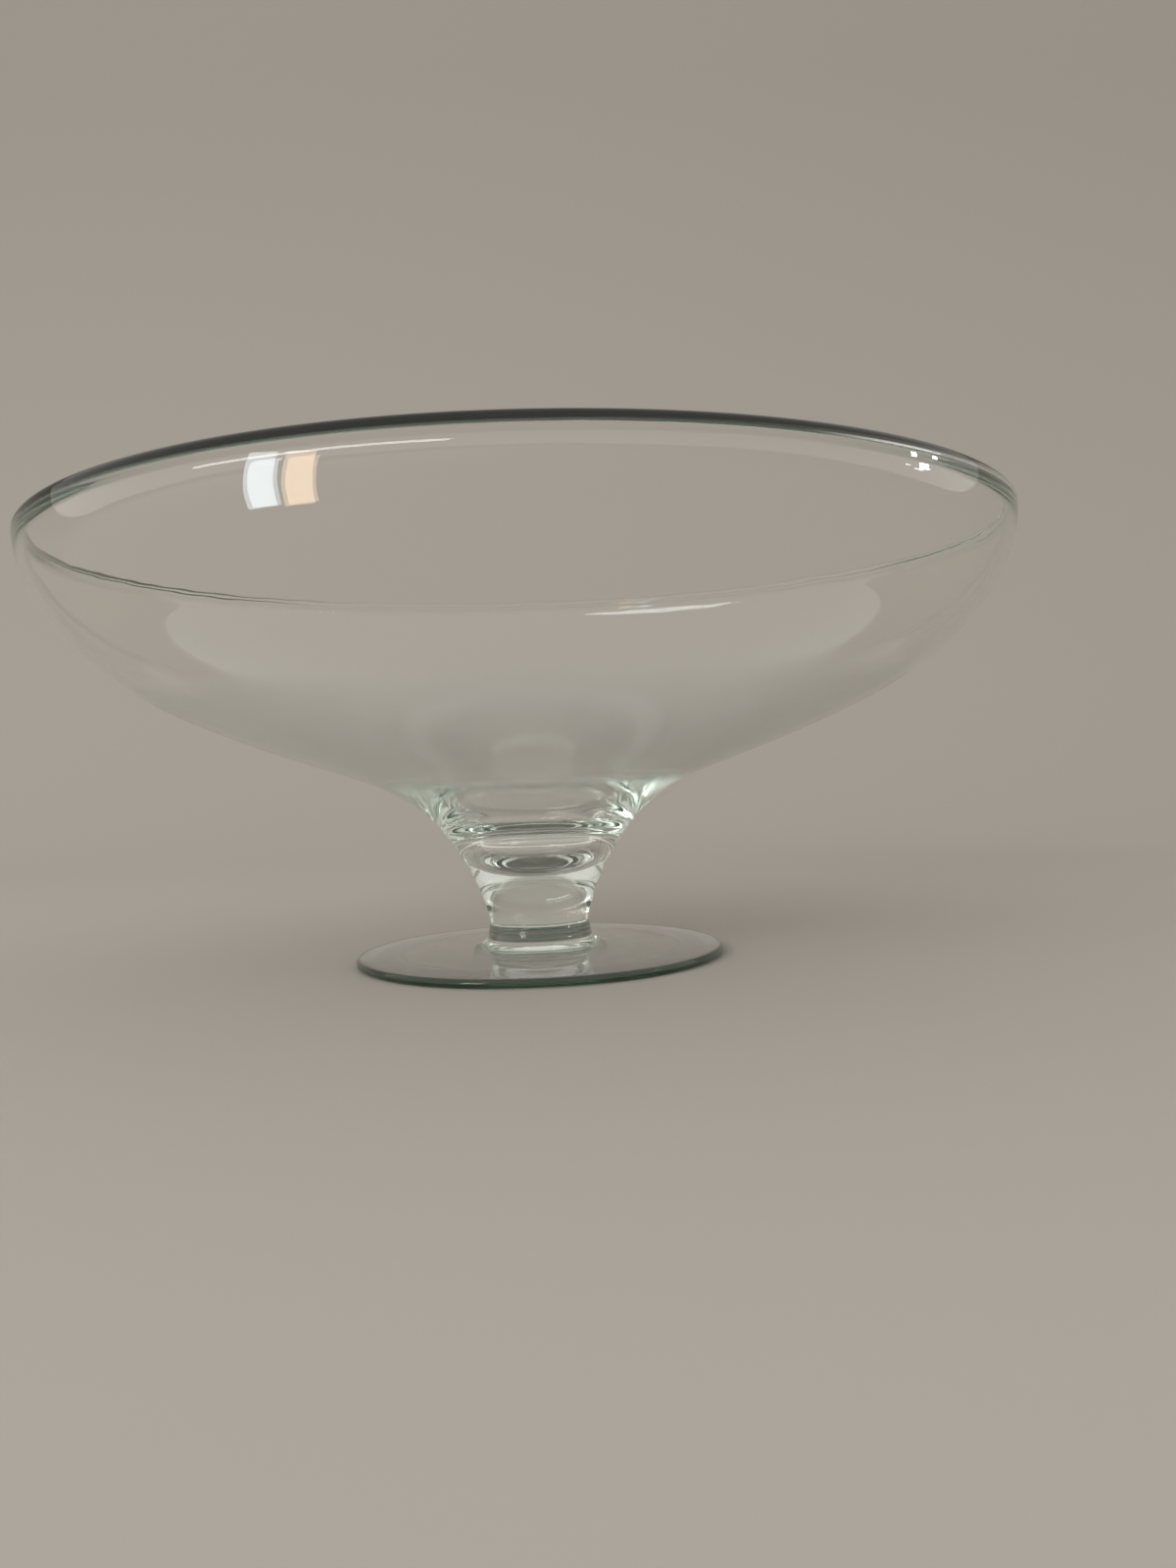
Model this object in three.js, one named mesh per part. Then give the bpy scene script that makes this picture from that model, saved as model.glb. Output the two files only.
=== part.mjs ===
// Footed glass fruit bowl: a blown bowl, a short solid stem and a flat foot,
// three gathers of clear glass that are fused to each other while hot.
// Millimetres, +Z up. The origin is on the axis, at the surface the foot stands on.

import * as THREE from 'three';

// Driving dimensions

// Heights, stacked from the table up
const hubHeight = 10.75; // foot and hub, up to the seam under the stem
const stemLength = 15.25; // from the seam to the base of the bowl
const bowlHeight = 97; // from the base of the bowl to the top of the rim

// Bowl, outside: an ellipse below the rim that runs into a funnel above the stem
const rimDiameter = 280;
const shellDepth = 67.5; // from the rim down to where the ellipse would close
const flankDiameter = 192; // where the ellipse gives way to the funnel
const flankPull = 0.68; // how far the ellipse's slope carries into the funnel, of the width left
const neckPull = 0.78; // how far the stem's slope carries up into the funnel, of the height left

// Bowl, inside: a wall that thickens a little down to the shoulder, then a funnel that ends on a
// narrow shelf round the lip of a small round-bottomed well. Heights are above the base of the
// bowl; a rounding is the length taken off each side of a corner.
const rimBeadDiameter = 3.2;
const rimBlend = 10; // length over which the bead thins to the wall
const rimWall = 2.5;
const shoulderWall = 3;
const shoulderDiameter = 101; // outside, where the funnel's thick wall starts
const elbowDiameter = 66; // where the inside of the funnel turns steeper
const elbowHeight = 24.6;
const elbowRounding = 6.2;
const shelfDiameter = 47; // outer edge of the shelf
const shelfHeight = 16.3;
const shelfRounding = 3;
const lipDiameter = 33.6; // mouth of the well
const lipHeight = 14.6;
const lipRounding = 1.5;
const wellFullness = 0.55; // how squarely the well rounds into its floor, 0.55 being an ellipse
const baseThickness = 2.4; // glass between the floor of the well and the stem

// Stem
const stemTopDiameter = 40;
const stemBottomDiameter = 29.6;
const neckAngle = 62; // slope of the outside where the bowl meets the stem, in degrees
const ankleAngle = 78; // slope at the bottom of the stem, in degrees
const seamRounding = 0.6; // round edges of stem and hub that make the groove at the seam

// Foot
const footDiameter = 110;
const footEdgeThickness = 2.8;
const footRise = 1.3; // how far the top climbs from the edge to the hub
const hubStep = 0.2; // how far the hub stands out past the stem
const hubFlare = 0.2; // how much wider the hub is at its bottom than at its top
const hubFillet = 5.8; // wide round by which the hub runs out into the top of the foot
const standingRingWidth = 11.5; // flat ring the foot stands on
const undersideHollow = 1.2; // how far the middle of the underside is lifted

// Smoothness of the faceted solids
const bowlSides = 64;
const stemSides = 48;
const footSides = 64;
const outsideSteps = 24;
const insideSteps = 17;
const insideCrowding = 1.5; // draws the inside's steps towards the rim, where the bead turns quickly
const beadSteps = 6;
const cornerSteps = 4;
const wellSteps = 7;
const stemSteps = 8;
const hollowSteps = 4;
const edgeSteps = 8;
const filletSteps = 6;
const seamSteps = 3;

// Worked out from the sizes above
const rimRadius = rimDiameter / 2;
const beadRadius = rimBeadDiameter / 2;
const equatorHeight = bowlHeight - beadRadius; // middle of the rim bead, above the base of the bowl
const stemTopRadius = stemTopDiameter / 2;
const stemBottomRadius = stemBottomDiameter / 2;
const seamRadius = stemBottomRadius - seamRounding; // the fused face between stem and hub

const point = (radius, height) => new THREE.Vector2(radius, height);

const slope = (degrees) => {
  const angle = THREE.MathUtils.degToRad(degrees);
  return point(Math.cos(angle), Math.sin(angle));
};

// Joins sampled stretches into one outline, dropping the point that two neighbours share.
const outline = (...stretches) =>
  stretches.flatMap((points, index) => (index === 0 ? points : points.slice(1)));

const straight = (from, to) => [from, to];

const roundCorner = (from, corner, to, steps) =>
  new THREE.QuadraticBezierCurve(from, corner, to).getPoints(steps);

const arc = (centre, radius, startDegrees, endDegrees, steps) => {
  const start = THREE.MathUtils.degToRad(startDegrees);
  const end = THREE.MathUtils.degToRad(endDegrees);
  const clockwise = endDegrees < startDegrees;
  const curve = new THREE.EllipseCurve(centre.x, centre.y, radius, radius, start, end, clockwise);
  return curve.getPoints(steps);
};

// A path with straight sides whose inner corners are each rounded off, by half a side at most.
const roundedPath = (corners, roundings, steps) => {
  const rounds = roundings.map((rounding, index) => {
    const [before, corner, after] = corners.slice(index, index + 3);
    const towards = (end) => {
      const side = end.clone().sub(corner);
      return side.setLength(Math.min(rounding, side.length() / 2)).add(corner);
    };
    return roundCorner(towards(before), corner, towards(after), steps);
  });
  return [corners[0], ...rounds.flat(), corners.at(-1)];
};

// A clear glass piece: the outline of radius and height is turned about +Z.
const turnedGlass = (name, points, sides) => {
  const geometry = new THREE.LatheGeometry(points, sides);
  geometry.rotateX(Math.PI / 2);
  const material = new THREE.MeshStandardMaterial({
    color: '#dfe7e1',
    roughness: 0.04,
    metalness: 0,
    transparent: true,
    opacity: 0.35,
  });
  const mesh = new THREE.Mesh(geometry, material);
  mesh.name = name;
  return mesh;
};

// Bowl, standing on its base

// The outside from the middle of the rim bead down to the base, measured by its own length.
function outerSkin() {
  const flankRadius = flankDiameter / 2;
  const flankTurn = Math.acos(flankRadius / rimRadius);
  const ellipse = new THREE.EllipseCurve(
    0, equatorHeight, rimRadius, shellDepth, 0, -flankTurn, true,
  );
  const flank = ellipse.getPoint(1);
  const flankSlope = point(-rimRadius * Math.sin(flankTurn), -shellDepth * Math.cos(flankTurn)).normalize();
  const neck = point(stemTopRadius, 0);
  const flankReach = flankPull * (flankRadius - stemTopRadius);
  const neckReach = neckPull * flank.y;
  const funnel = new THREE.CubicBezierCurve(
    flank,
    flank.clone().addScaledVector(flankSlope, flankReach),
    neck.clone().addScaledVector(slope(neckAngle), neckReach),
    neck,
  );
  const skin = new THREE.CurvePath();
  skin.add(ellipse);
  skin.add(funnel);
  return skin;
}

// Share of the skin's length, from the rim down, at which the outside has come in to a radius.
function shareAtRadius(skin, radius) {
  let above = 0;
  let below = 1;
  while (below - above > 1e-6) {
    const middle = (above + below) / 2;
    if (skin.getPoint(middle).x > radius) {
      above = middle;
    } else {
      below = middle;
    }
  }
  return above;
}

function bowlOutline() {
  const skin = outerSkin();
  const skinLength = skin.getLength();
  const shoulderShare = shareAtRadius(skin, shoulderDiameter / 2);

  const wallAt = (share) => {
    const wall = THREE.MathUtils.lerp(rimWall, shoulderWall, share / shoulderShare);
    const blend = THREE.MathUtils.smoothstep(share * skinLength, 0, rimBlend);
    return THREE.MathUtils.lerp(rimBeadDiameter, wall, blend);
  };

  const insideAt = (share) => {
    const outward = skin.getTangent(share).rotateAround(point(0, 0), Math.PI / 2);
    return skin.getPoint(share).addScaledVector(outward, -wallAt(share));
  };

  const outside = skin.getSpacedPoints(outsideSteps).reverse();
  const bead = arc(point(rimRadius - beadRadius, equatorHeight), beadRadius, 0, 180, beadSteps);

  const inside = [];
  for (let step = 0; step <= insideSteps; step += 1) {
    inside.push(insideAt(shoulderShare * (step / insideSteps) ** insideCrowding));
  }

  const lip = point(lipDiameter / 2, lipHeight);
  const wellTop = point(lip.x, lipHeight - 2 * lipRounding);
  const funnel = roundedPath(
    [
      inside.at(-1),
      point(elbowDiameter / 2, elbowHeight),
      point(shelfDiameter / 2, shelfHeight),
      lip,
      wellTop,
    ],
    [elbowRounding, shelfRounding, lipRounding],
    cornerSteps,
  );
  const well = new THREE.CubicBezierCurve(
    wellTop,
    point(wellTop.x, wellTop.y - wellFullness * (wellTop.y - baseThickness)),
    point(wellFullness * wellTop.x, baseThickness),
    point(0, baseThickness),
  );
  return outline(
    straight(point(0, 0), outside[0]),
    outside,
    bead,
    inside,
    funnel,
    well.getPoints(wellSteps),
  );
}

// Stem, standing on the seam

function stemOutline() {
  const bottom = point(stemBottomRadius, seamRounding);
  const top = point(stemTopRadius, stemLength);
  const reach = stemLength / 3;
  const side = new THREE.CubicBezierCurve(
    bottom,
    bottom.clone().addScaledVector(slope(ankleAngle), reach),
    top.clone().addScaledVector(slope(neckAngle), -reach),
    top,
  );
  return outline(
    straight(point(0, 0), point(seamRadius, 0)),
    roundCorner(point(seamRadius, 0), point(stemBottomRadius, 0), bottom, seamSteps),
    side.getPoints(stemSteps),
    straight(top, point(0, stemLength)),
  );
}

// Foot, standing on the table

function footOutline() {
  const footRadius = footDiameter / 2;
  const edgeRadius = footEdgeThickness / 2;
  const ringOuterRadius = footRadius - edgeRadius;
  const ringInnerRadius = ringOuterRadius - standingRingWidth;
  const hubTopRadius = stemBottomRadius + hubStep;
  const hubBaseRadius = hubTopRadius + hubFlare;
  const topAtHub = footEdgeThickness + footRise;

  const hollow = roundCorner(
    point(0, undersideHollow),
    point(ringInnerRadius / 2, undersideHollow),
    point(ringInnerRadius, 0),
    hollowSteps,
  );
  const edge = arc(point(ringOuterRadius, edgeRadius), edgeRadius, -90, 90, edgeSteps);
  const hubFoot = roundCorner(
    point(hubBaseRadius + hubFillet, topAtHub),
    point(hubBaseRadius, topAtHub),
    point(hubBaseRadius, topAtHub + hubFillet),
    filletSteps,
  );
  const hubShoulder = roundCorner(
    point(hubTopRadius, hubHeight - seamRounding),
    point(hubTopRadius, hubHeight),
    point(seamRadius, hubHeight),
    seamSteps,
  );
  return outline(
    hollow,
    straight(point(ringInnerRadius, 0), edge[0]),
    edge,
    straight(edge.at(-1), hubFoot[0]),
    hubFoot,
    straight(hubFoot.at(-1), hubShoulder[0]),
    hubShoulder,
    straight(hubShoulder.at(-1), point(0, hubHeight)),
  );
}

// Assembly

const foot = turnedGlass('foot', footOutline(), footSides);

const stem = turnedGlass('stem', stemOutline(), stemSides);
stem.position.z = hubHeight;

const bowl = turnedGlass('bowl', bowlOutline(), bowlSides);
bowl.position.z = hubHeight + stemLength;

const footedBowl = new THREE.Group();
footedBowl.add(foot, stem, bowl);

export default footedBowl;
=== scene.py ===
import math
import bmesh
import bpy
from mathutils import Matrix, Quaternion, Vector
from mathutils.geometry import interpolate_bezier


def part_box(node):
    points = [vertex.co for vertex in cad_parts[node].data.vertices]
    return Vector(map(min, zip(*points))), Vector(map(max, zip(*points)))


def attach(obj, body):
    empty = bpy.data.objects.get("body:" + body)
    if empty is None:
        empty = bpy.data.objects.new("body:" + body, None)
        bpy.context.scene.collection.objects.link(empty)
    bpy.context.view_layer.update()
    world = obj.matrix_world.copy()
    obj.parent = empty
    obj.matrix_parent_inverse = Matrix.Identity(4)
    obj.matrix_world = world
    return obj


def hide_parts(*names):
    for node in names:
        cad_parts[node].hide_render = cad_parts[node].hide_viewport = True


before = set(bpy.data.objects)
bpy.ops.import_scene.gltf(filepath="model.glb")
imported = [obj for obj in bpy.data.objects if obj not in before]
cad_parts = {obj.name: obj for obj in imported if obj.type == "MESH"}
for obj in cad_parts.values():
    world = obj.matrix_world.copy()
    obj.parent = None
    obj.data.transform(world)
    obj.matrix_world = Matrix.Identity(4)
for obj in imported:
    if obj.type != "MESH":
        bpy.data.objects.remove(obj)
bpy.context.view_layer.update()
print("frame loaded with", ", ".join(sorted(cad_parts)))

# Metres and degrees. An outline is drawn in the XZ plane, x being the radius, and spun about Z.
mm = 0.001
lathe = {"steps": 256, "mergeDistance": 0.001 * mm, "jointGap": 0.01 * mm, "flatFace": 0.9999}


def polar(radius, height):
    return Vector((radius, 0, height))


def heading(degrees):
    angle = math.radians(degrees)
    return polar(math.cos(angle), math.sin(angle))


def bezier(start, startHandle, endHandle, end, steps):
    return interpolate_bezier(start, startHandle, endHandle, end, steps + 1)


def roundCorner(start, corner, end, steps):
    return bezier(start, start.lerp(corner, 2 / 3), end.lerp(corner, 2 / 3), end, steps)


def arc(centre, radius, startDegrees, endDegrees, steps):
    turn = (endDegrees - startDegrees) / steps
    return [centre + radius * heading(startDegrees + turn * step) for step in range(steps + 1)]


def straight(start, end, steps):
    return [start.lerp(end, step / steps) for step in range(steps + 1)]


# A path through corners, each rounded from the given length before it to that length after it
def roundedPath(corners, roundings, steps):
    stretches = []
    start = corners[0]
    for before, corner, after, rounding in zip(corners, corners[1:], corners[2:], roundings):
        entry = corner + rounding * (before - corner).normalized()
        leave = corner + rounding * (after - corner).normalized()
        stretches += [straight(start, entry, steps), roundCorner(entry, corner, leave, steps)]
        start = leave
    return joined(*stretches, straight(start, corners[-1], steps))


# Joins stretches of an outline and drops the points that two neighbours share
def joined(*stretches):
    points = []
    for stretch in stretches:
        for spot in stretch:
            if not points or (spot - points[-1]).length > lathe["mergeDistance"]:
                points.append(spot)
    return points


# Spins an outline into a closed piece and marks the flat faces at its fused joints.
# They stand a hair back from the neighbour's, so that no two faces lie in one plane.
def turnPiece(name, outline, fusedHeights, glass):
    shape = bmesh.new()
    verts = [shape.verts.new(spot) for spot in outline]
    edges = [shape.edges.new(pair) for pair in zip(verts, verts[1:])]
    bmesh.ops.spin(shape, geom=verts + edges, cent=(0, 0, 0), axis=(0, 0, 1), dvec=(0, 0, 0),
                   angle=math.tau, steps=lathe["steps"], use_merge=True)
    bmesh.ops.remove_doubles(shape, verts=shape.verts, dist=lathe["mergeDistance"])
    bmesh.ops.recalc_face_normals(shape, faces=shape.faces)
    fused = shape.faces.layers.float.new("fused")
    for face in shape.faces:
        face.smooth = True
    for height in fusedHeights:
        level = [vert for vert in shape.verts if abs(vert.co.z - height) < lathe["mergeDistance"]]
        touching = {face for vert in level for face in vert.link_faces}
        joint = {face for face in touching if abs(face.normal.z) > lathe["flatFace"]}
        for face in joint:
            face[fused] = 1
        for edge in {edge for face in joint for edge in face.edges}:
            edge.smooth = all(face in joint for face in edge.link_faces)
        facing = next(iter(joint)).normal.z
        bmesh.ops.translate(shape, verts=level, vec=(0, 0, -math.copysign(lathe["jointGap"], facing)))
    mesh = bpy.data.meshes.new(name)
    shape.to_mesh(mesh)
    shape.free()
    mesh.materials.append(glass)
    piece = bpy.data.objects.new(name, mesh)
    bpy.context.collection.objects.link(piece)
    print(name, "turned:", len(mesh.polygons), "faces")
    return piece


# Shader maths: a wrapped socket, on which + - * add Math nodes
class Wire:
    def __init__(self, tree, socket=None):
        self.tree = tree
        self.socket = socket

    def node(self, kind, settings, inputs, output=0):
        made = self.tree.nodes.new(kind)
        for name, value in settings.items():
            setattr(made, name, value)
        for name, value in inputs.items():
            if isinstance(value, Wire):
                self.tree.links.new(value.socket, made.inputs[name])
            else:
                made.inputs[name].default_value = value
        return Wire(self.tree, made.outputs[output])

    def maths(self, operation, *terms):
        return self.node("ShaderNodeMath", {"operation": operation}, dict(enumerate(terms)))

    def __add__(self, other):
        return self.maths("ADD", self, other)

    def __radd__(self, other):
        return self.maths("ADD", other, self)

    def __sub__(self, other):
        return self.maths("SUBTRACT", self, other)

    def __rsub__(self, other):
        return self.maths("SUBTRACT", other, self)

    def __mul__(self, other):
        return self.maths("MULTIPLY", self, other)

    def __rmul__(self, other):
        return self.maths("MULTIPLY", other, self)

    def feed(self, shader, name):
        self.tree.links.new(self.socket, shader.inputs[name])

    def axes(self):
        return [self.node("ShaderNodeSeparateXYZ", {}, {"Vector": self}, axis) for axis in "XYZ"]

    # A smooth rise from 0 at low to 1 at high
    def step(self, low, high):
        limits = {"Value": self, "From Min": low, "From Max": high}
        return self.node("ShaderNodeMapRange", {"interpolation_type": "SMOOTHSTEP"}, limits)


# Clear soda-lime glass with a faint green cast. Hands leave smudges on it, and turning it
# while hot leaves faint level waves.
clearGlass = {
    "ior": 1.52,
    "absorbs": (0.55, 0.70, 0.60, 1),
    "density": 8,
    "polish": 0.002,
    "smudge": 0.02,
    "smudgeScale": 28,
    "smudgeDetail": 3,
    "smudgeReach": (0.52, 0.75),
    "waveScale": (40, 40, 110),
    "waveDetail": 2,
    "waveDepth": 0.03 * mm,
    "clear": (1, 1, 1, 1),
}


# The shade mask says where the glass takes a painted shade colour in place of clear, and wornMask is
# roughness on top of the polish
def glassOf(name, paintedShadeMask=None, paintedShadeTint=None, wornMask=None):
    own = clearGlass
    material = bpy.data.materials.new(name)
    material.use_nodes = True
    tree = material.node_tree
    shader = tree.nodes["Principled BSDF"]
    shader.inputs["Transmission Weight"].default_value = 1
    shader.inputs["IOR"].default_value = own["ior"]

    wire = Wire(tree)
    place = wire.node("ShaderNodeTexCoord", {}, {}, "Object")

    smudges = {"Vector": place, "Scale": own["smudgeScale"], "Detail": own["smudgeDetail"]}
    cloud = wire.node("ShaderNodeTexNoise", {}, smudges)
    rough = own["polish"] + own["smudge"] * cloud.step(*own["smudgeReach"])
    if wornMask:
        rough = rough + wornMask(*place.axes())
    rough.feed(shader, "Roughness")

    stretch = {0: place, 1: own["waveScale"]}
    stretched = wire.node("ShaderNodeVectorMath", {"operation": "MULTIPLY"}, stretch)
    ripples = {"Vector": stretched, "Scale": 1, "Detail": own["waveDetail"]}
    waves = wire.node("ShaderNodeTexNoise", {}, ripples)
    bump = wire.node("ShaderNodeBump", {}, {"Height": waves, "Strength": 1, "Distance": own["waveDepth"]})
    bump.feed(shader, "Normal")

    shader.inputs["Base Color"].default_value = own["clear"]
    # Painted shade: where the mask is on, the base colour darkens towards the painted shade colour
    if paintedShadeMask:
        shades = {0: paintedShadeMask(*place.axes()), 6: own["clear"], 7: paintedShadeTint}
        wire.node("ShaderNodeMix", {"data_type": "RGBA"}, shades, 2).feed(shader, "Base Color")

    fused = wire.node("ShaderNodeAttribute", {"attribute_name": "fused"}, {}, "Fac")
    (1 - fused).feed(shader, "Alpha")
    body = tree.nodes.new("ShaderNodeVolumeAbsorption")
    body.inputs["Color"].default_value = own["absorbs"]
    body.inputs["Density"].default_value = own["density"]
    tree.links.new(body.outputs["Volume"], tree.nodes["Material Output"].inputs["Volume"])
    return material


# The bowl: an ellipse below the rim, a funnel above the stem, and a well inside it
bowlShape = {
    "shellDepth": 67.5 * mm,
    "flankRadius": 96 * mm,
    "flankPull": 0.68,
    "neckPull": 0.78,
    "rimBead": 3.2 * mm,
    "rimBlend": 4 * mm,
    "rimWall": 2.5 * mm,
    "shoulderWall": 3 * mm,
    "shoulderRadius": 50.5 * mm,
    "elbowRadius": 33 * mm,
    "elbowRise": 24.6 * mm,
    "elbowRounding": 8.5 * mm,
    "shelfRadius": 23.5 * mm,
    "shelfRise": 16.3 * mm,
    "shelfRounding": 3 * mm,
    "lipRadius": 16.8 * mm,
    "lipRise": 14.6 * mm,
    "lipRounding": 1.5 * mm,
    "wellFullness": 0.55,
    "floorThickness": 2.4 * mm,
    # painted shade on the rim top: its depth, its lean to the left and front, its fade and its near-black
    # colour
    "paintedRimShade": 0.7 * mm,
    "paintedShadeLeft": 0.7 * mm,
    "paintedShadeFront": 1.3 * mm,
    "paintedShadeFade": 0.4 * mm,
    "paintedShadeColour": (0.006, 0.010, 0.006, 1),
    "haze": 0.13,
    "hazeLow": 49 * mm,
    "hazeHigh": 84 * mm,
    "hazeFade": 7 * mm,
    "skinSteps": 200,
    "skinKept": 3,  # every third point of the fine skin goes into the outline
    "beadSteps": 24,
    "cornerSteps": 12,
    "wellSteps": 48,
}


def bowlSkin(rimRadius, equator, base):
    own = bowlShape
    turn = math.acos(own["flankRadius"] / rimRadius)
    shell = []
    for step in range(own["skinSteps"] + 1):
        angle = turn * step / own["skinSteps"]
        drop = own["shellDepth"] * math.sin(angle)
        shell.append(polar(rimRadius * math.cos(angle), equator - drop))
    flank = shell[-1]
    flankHeading = polar(-rimRadius * math.sin(turn), -own["shellDepth"] * math.cos(turn)).normalized()
    neck = polar(stemShape["topRadius"], base)
    flankReach = own["flankPull"] * (flank.x - neck.x)
    neckReach = own["neckPull"] * (flank.z - base)
    funnel = bezier(
        flank,
        flank + flankReach * flankHeading,
        neck + neckReach * heading(stemShape["neckAngle"]),
        neck,
        own["skinSteps"],
    )
    return joined(shell, funnel)


def bowlOutline():
    own = bowlShape
    low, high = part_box("bowl")
    rimRadius = high.x
    base = low.z
    beadRadius = own["rimBead"] / 2
    equator = high.z - beadRadius
    skin = bowlSkin(rimRadius, equator, base)

    inside = []
    travelled = 0
    for here, after in zip(skin, skin[1:]):
        along = (after - here).normalized()
        blend = min(travelled / own["rimBlend"], 1)
        fade = 1 - blend * blend * (3 - 2 * blend)
        inward = (rimRadius - here.x) / (rimRadius - own["shoulderRadius"])
        wall = own["rimWall"] + (own["shoulderWall"] - own["rimWall"]) * inward
        wall += (own["rimBead"] - wall) * fade
        inside.append(here + wall * polar(along.z, -along.x))
        travelled += (after - here).length
        if here.x < own["shoulderRadius"]:
            break

    elbow = polar(own["elbowRadius"], base + own["elbowRise"])
    shelf = polar(own["shelfRadius"], base + own["shelfRise"])
    lip = polar(own["lipRadius"], base + own["lipRise"])
    wellTop = lip - polar(0, own["lipRounding"])
    floor = polar(0, base + own["floorThickness"])
    funnel = roundedPath(
        [inside.pop(), elbow, shelf, lip, wellTop],
        [own["elbowRounding"], own["shelfRounding"], own["lipRounding"]],
        own["cornerSteps"],
    )
    well = bezier(
        wellTop,
        polar(wellTop.x, wellTop.z - own["wellFullness"] * (wellTop.z - floor.z)),
        polar(own["wellFullness"] * wellTop.x, floor.z),
        floor,
        own["wellSteps"],
    )
    bead = arc(polar(rimRadius - beadRadius, equator), beadRadius, 0, 180, own["beadSteps"])
    outside = skin[::-own["skinKept"]]
    inside = inside[::own["skinKept"]]
    return joined([polar(0, base), skin[-1]], outside, [skin[0]], bead, inside, funnel, well)


# Painted shade: the top of the rim is coloured near black, a broader band of it in front and on the left,
# standing in for the dark the rim bead shows by refraction
def paintedRimShadeMask(x, y, z):
    own = bowlShape
    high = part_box("bowl")[1]
    edge = high.z - own["paintedRimShade"]
    lean = own["paintedShadeLeft"] / high.x * x + own["paintedShadeFront"] / high.x * y
    return (z - lean).step(edge - own["paintedShadeFade"], edge)


# Hands that lift it by the underside leave a haze there
def handledZone(x, y, z):
    own = bowlShape
    aboveLow = z.step(own["hazeLow"], own["hazeLow"] + own["hazeFade"])
    belowHigh = 1 - z.step(own["hazeHigh"] - own["hazeFade"], own["hazeHigh"])
    return own["haze"] * aboveLow * belowHigh


# The stem: a short solid taper with a rounded lower edge
stemShape = {
    "topRadius": 20 * mm,
    "bottomRadius": 14.8 * mm,
    "neckAngle": 62,
    "ankleAngle": 78,
    "seamRounding": 0.6 * mm,
    "sideSteps": 40,
    "seamSteps": 10,
}


def stemOutline():
    own = stemShape
    low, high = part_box("stem")
    seamRadius = own["bottomRadius"] - own["seamRounding"]
    seam = polar(seamRadius, low.z)
    bottom = polar(own["bottomRadius"], low.z + own["seamRounding"])
    top = polar(own["topRadius"], high.z)
    reach = (high.z - low.z) / 3
    edge = roundCorner(seam, polar(own["bottomRadius"], low.z), bottom, own["seamSteps"])
    side = bezier(
        bottom,
        bottom + reach * heading(own["ankleAngle"]),
        top - reach * heading(own["neckAngle"]),
        top,
        own["sideSteps"],
    )
    return joined([polar(0, low.z)], edge, side, [polar(0, high.z)])


# The foot: a flat disc with a round edge, a low hub and a shallow hollow underneath
footShape = {
    "edge": 2.8 * mm,
    "rise": 1.3 * mm,
    "hubStep": 0.2 * mm,
    "hubFlare": 0.2 * mm,
    "hubFillet": 5.8 * mm,
    "ringWidth": 11.5 * mm,
    "hollow": 1.2 * mm,
    # painted shade on the round edge: its depth, its fade and its dark green colour
    "paintedEdgeShade": 0.5 * mm,
    "paintedShadeFade": 0.8 * mm,
    "paintedShadeColour": (0.03, 0.08, 0.04, 1),
    "wear": 0.12,
    "wearHeight": 0.15 * mm,
    "hollowSteps": 30,
    "edgeSteps": 24,
    "filletSteps": 14,
    "seamSteps": 10,
}


def footOutline():
    own = footShape
    low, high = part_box("foot")
    edgeRadius = own["edge"] / 2
    ringOuter = high.x - edgeRadius
    ringInner = ringOuter - own["ringWidth"]
    hubTop = stemShape["bottomRadius"] + own["hubStep"]
    hubBase = hubTop + own["hubFlare"]
    seamRadius = stemShape["bottomRadius"] - stemShape["seamRounding"]
    topAtHub = low.z + own["edge"] + own["rise"]
    hollowTop = low.z + own["hollow"]
    hollow = roundCorner(
        polar(0, hollowTop), polar(ringInner / 2, hollowTop), polar(ringInner, low.z), own["hollowSteps"])
    edge = arc(polar(ringOuter, low.z + edgeRadius), edgeRadius, -90, 90, own["edgeSteps"])
    fillet = roundCorner(
        polar(hubBase + own["hubFillet"], topAtHub),
        polar(hubBase, topAtHub),
        polar(hubBase, topAtHub + own["hubFillet"]),
        own["filletSteps"],
    )
    shoulder = roundCorner(
        polar(hubTop, high.z - stemShape["seamRounding"]),
        polar(hubTop, high.z),
        polar(seamRadius, high.z),
        own["seamSteps"],
    )
    return joined(hollow, edge, fillet, shoulder, [polar(0, high.z)])


# Painted shade: the round edge is coloured dark green, standing in for the dark the thick edge shows
# edge-on; the ring it stands on is worn
def paintedEdgeShadeMask(x, y, z):
    own = footShape
    radius = x.maths("SQRT", x * x + y * y)
    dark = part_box("foot")[1].x - own["paintedEdgeShade"]
    return radius.step(dark - own["paintedShadeFade"], dark)


def wornRing(x, y, z):
    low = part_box("foot")[0].z
    return footShape["wear"] * (1 - z.step(low, low + footShape["wearHeight"]))


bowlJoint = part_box("stem")[1].z
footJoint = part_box("stem")[0].z
bowlGlass = glassOf("bowl_glass", paintedRimShadeMask, bowlShape["paintedShadeColour"], handledZone)
stemGlass = glassOf("stem_glass")
footGlass = glassOf("foot_glass", paintedEdgeShadeMask, footShape["paintedShadeColour"], wornRing)
bowl = turnPiece("glass_bowl", bowlOutline(), [bowlJoint], bowlGlass)
stem = turnPiece("glass_stem", stemOutline(), [bowlJoint, footJoint], stemGlass)
foot = turnPiece("glass_foot", footOutline(), [footJoint], footGlass)
for piece, node in ((bowl, "bowl"), (stem, "stem"), (foot, "foot")):
    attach(piece, "root")
    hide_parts(node)

# The studio: a wide roll of pale paper that lies under the bowl and curves up behind it
studio = {
    "front": -3,
    "back": 0.45,
    "sweep": 1.3,
    "height": 1.75,
    "width": 8,
    "sweepSteps": 48,
    "colour": (0.43, 0.405, 0.372, 1),
    "paperRoughness": 0.9,
    "paperSheen": 0.2,
    "room": (0.80, 0.77, 0.72, 1),
}


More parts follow.
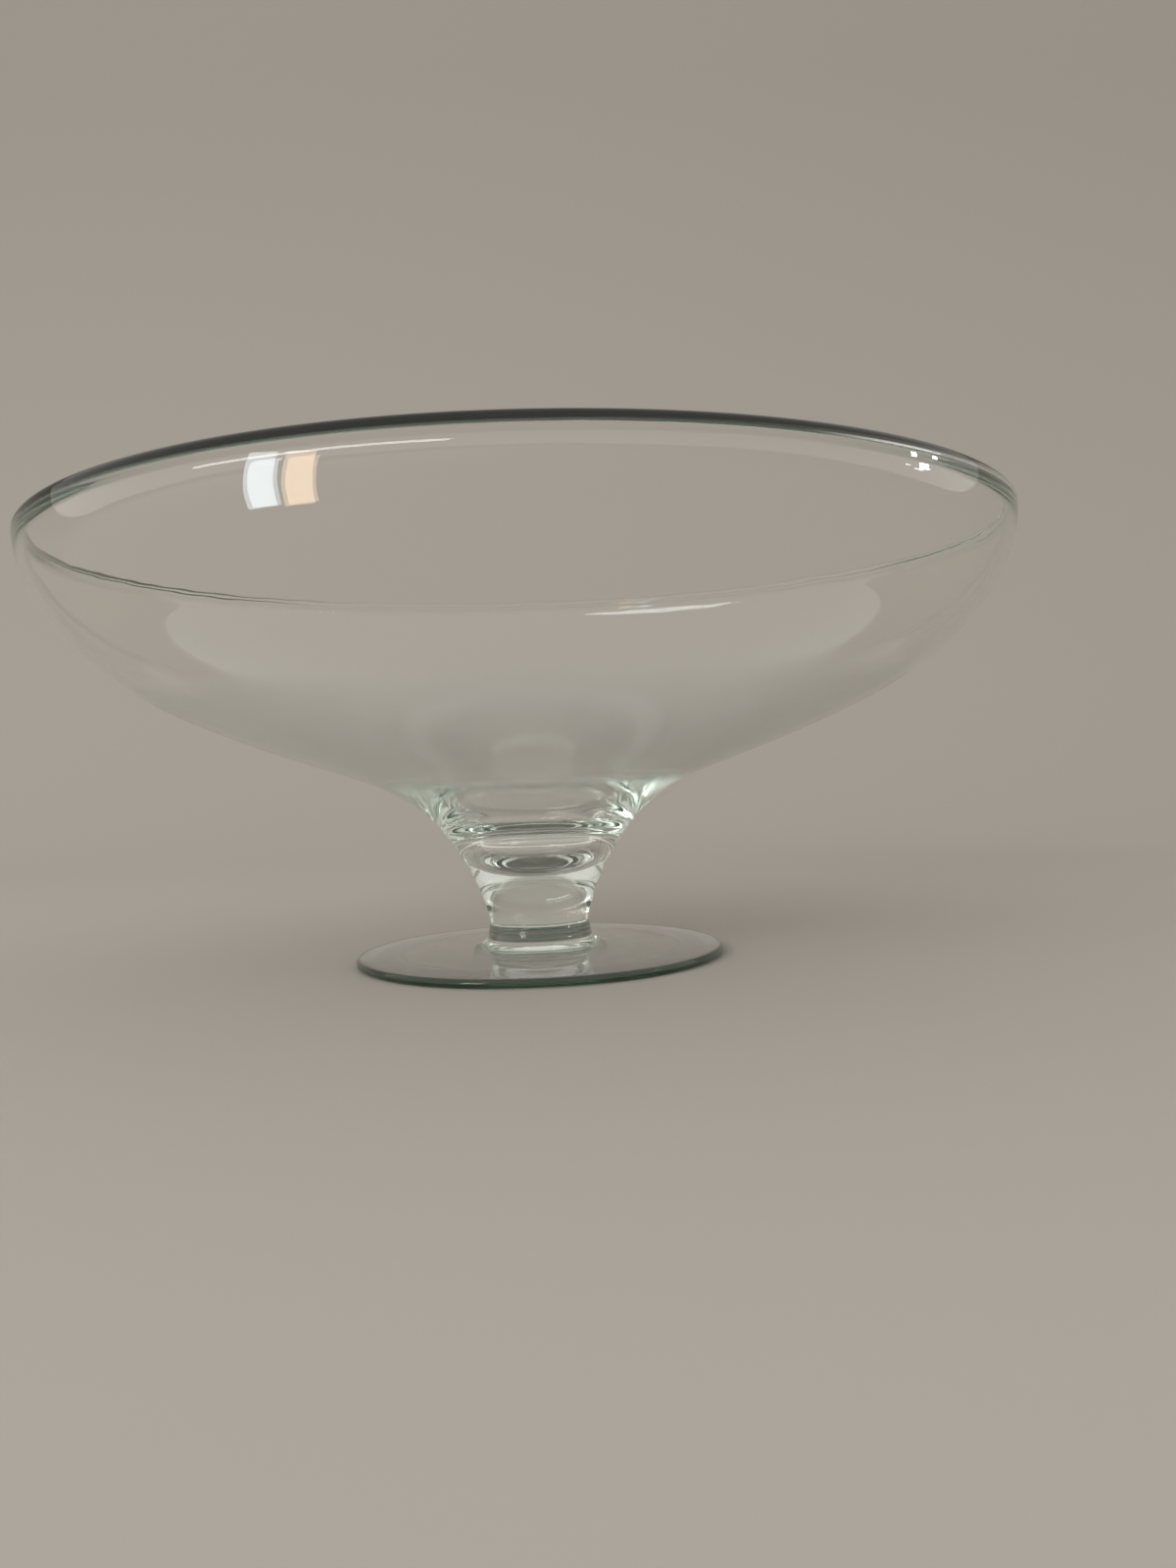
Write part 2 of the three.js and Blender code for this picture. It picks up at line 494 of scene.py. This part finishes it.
def palePaper():
    own = studio
    sweep = arc(polar(own["back"], own["sweep"]), own["sweep"], -90, 0, own["sweepSteps"])
    outline = joined([polar(own["front"], 0)], sweep, [polar(own["back"] + own["sweep"], own["height"])])
    shape = bmesh.new()
    verts = [shape.verts.new((-own["width"] / 2, spot.x, spot.z)) for spot in outline]
    edges = [shape.edges.new(pair) for pair in zip(verts, verts[1:])]
    drawn = bmesh.ops.extrude_edge_only(shape, edges=edges)["geom"]
    farSide = [item for item in drawn if isinstance(item, bmesh.types.BMVert)]
    bmesh.ops.translate(shape, verts=farSide, vec=(own["width"], 0, 0))
    bmesh.ops.recalc_face_normals(shape, faces=shape.faces)
    for face in shape.faces:
        face.smooth = True
    mesh = bpy.data.meshes.new("studio_paper")
    shape.to_mesh(mesh)
    shape.free()
    paper = bpy.data.materials.new("pale_paper")
    paper.use_nodes = True
    shader = paper.node_tree.nodes["Principled BSDF"]
    shader.inputs["Base Color"].default_value = own["colour"]
    shader.inputs["Roughness"].default_value = own["paperRoughness"]
    shader.inputs["Specular IOR Level"].default_value = own["paperSheen"]
    mesh.materials.append(paper)
    roll = bpy.data.objects.new("studio_paper", mesh)
    bpy.context.collection.objects.link(roll)


# The long front box lights floor and backdrop; the small ones only make reflections on the glass
softboxes = {
    "front": {
        "place": (-1.1, -1.2, 0.74), "aim": (0, 0.2, 0.05),
        "size": (1.7, 0.35), "watts": 14, "onGlass": False},
    "window_left": {
        "place": (-0.218, -0.25, 0.08), "aim": (-0.052, -0.129, 0.113),
        "size": (0.030, 0.125), "watts": 0.08, "roll": -11, "tint": (0.82, 0.93, 1)},
    "window_right": {
        "place": (-0.192, -0.276, 0.07), "aim": (-0.039, -0.133, 0.112),
        "size": (0.030, 0.125), "watts": 0.07, "roll": -11, "tint": (1, 0.72, 0.48)},
    "glint_high": {
        "place": (0.298, -0.117, 0.155), "aim": (0.081, -0.114, 0.119),
        "size": (0.008, 0.008), "watts": 0.004},
    "glint_low": {
        "place": (0.302, -0.104, 0.136), "aim": (0.085, -0.111, 0.117),
        "size": (0.014, 0.012), "watts": 0.01},
    "glint_side": {
        "place": (0.302, -0.086, 0.158), "aim": (0.088, -0.109, 0.119),
        "size": (0.008, 0.006), "watts": 0.003},
}


def hangSoftbox(name, place, aim, size, watts, roll=0, tint=(1, 1, 1), onGlass=True):
    lamp = bpy.data.lights.new(name, "AREA")
    lamp.shape = "RECTANGLE"
    lamp.size, lamp.size_y = size
    lamp.energy = watts
    lamp.color = tint
    box = bpy.data.objects.new(name, lamp)
    box.location = place
    facing = (Vector(aim) - Vector(place)).to_track_quat("-Z", "Y")
    box.rotation_euler = (facing @ Quaternion((0, 0, 1), math.radians(roll))).to_euler()
    box.visible_camera = False
    box.visible_diffuse = not onGlass
    box.visible_glossy = onGlass
    bpy.context.collection.objects.link(box)


# The room round the paper is an even pale grey
def paleRoom():
    world = bpy.data.worlds.new("studio_room")
    world.use_nodes = True
    world.node_tree.nodes["Background"].inputs["Color"].default_value = studio["room"]
    bpy.context.scene.world = world


palePaper()
for name, own in softboxes.items():
    hangSoftbox(name, **own)
paleRoom()
print("studio lit by", ", ".join(softboxes))

# The camera stands in front of the bowl, level with the lower part of its inside
view = {
    "distance": 357.2 * mm,
    "height": 55.8 * mm,
    "pitch": -0.683,
    "yaw": -2.605,
    "roll": -2.18,
    "focalPixels": 1202,
    "imageHeight": 1600,
    "sensor": 36,
    "nearest": 10 * mm,
    "bounces": 128,  # light runs far inside the wall of the glass
}


def setCamera():
    lens = bpy.data.cameras.new("camera")
    lens.sensor_width = view["sensor"]
    lens.lens = view["focalPixels"] / view["imageHeight"] * view["sensor"]
    lens.clip_start = view["nearest"]
    camera = bpy.data.objects.new("camera", lens)
    turn = Matrix.Rotation(math.radians(view["yaw"]), 4, "Z")
    tilt = Matrix.Rotation(math.radians(90 + view["pitch"]), 4, "X")
    lean = Matrix.Rotation(math.radians(view["roll"]), 4, "Z")
    place = Matrix.Translation((0, -view["distance"], view["height"]))
    camera.matrix_world = place @ turn @ tilt @ lean
    bpy.context.collection.objects.link(camera)
    bpy.context.scene.camera = camera


setCamera()

scene = bpy.context.scene
scene.view_settings.view_transform = "Standard"
scene.cycles.max_bounces = view["bounces"]
scene.cycles.glossy_bounces = view["bounces"]
scene.cycles.transmission_bounces = view["bounces"]
scene.cycles.transparent_max_bounces = view["bounces"]
